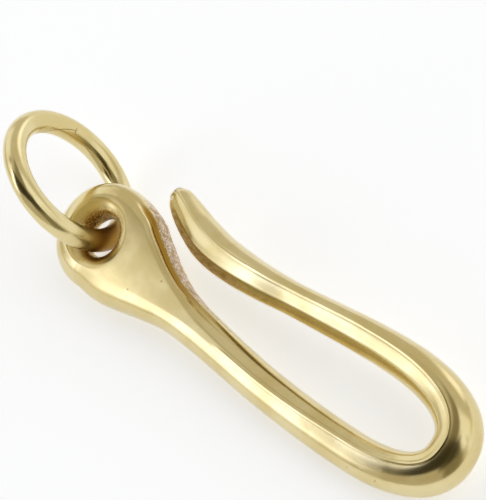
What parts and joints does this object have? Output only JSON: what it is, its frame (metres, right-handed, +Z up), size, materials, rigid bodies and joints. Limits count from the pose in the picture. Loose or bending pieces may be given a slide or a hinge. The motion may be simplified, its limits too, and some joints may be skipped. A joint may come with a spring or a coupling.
{
  "type": "fish hook clasp",
  "caption": "Solid brass hook with a flared eye and a loose closed ring, hung on a belt, belt loop or pocket edge to carry keys or a wallet chain.",
  "frame": {"origin": "on the table, under the middle of the part as it lies there propped on its ring", "axes": "+X along the hook from the eye to the bend, +Z up from the table; the hook's own plane leans 20.4 degrees about X and 1.3 degrees about Y"},
  "size_m": [0.0776, 0.0178, 0.0186],
  "materials": {
    "cast_brass": "tumbled and hand-polished cast brass, bright on the outside and left as cast in the bore and on the gap side of the eye",
    "wire_brass": "polished brass wire"
  },
  "bodies": {
    "hook": {"hook": "cast_brass"},
    "ring": {"ring": "wire_brass"}
  },
  "joints": [
    {"name": "ring_swing", "type": "hinge", "parent": "hook", "child": "ring", "pos_m": [-0.02229, -0.00183, 0.00516], "axis": [0.0208, -0.3486, 0.9371], "range_deg": [-98, 182]}
  ]
}
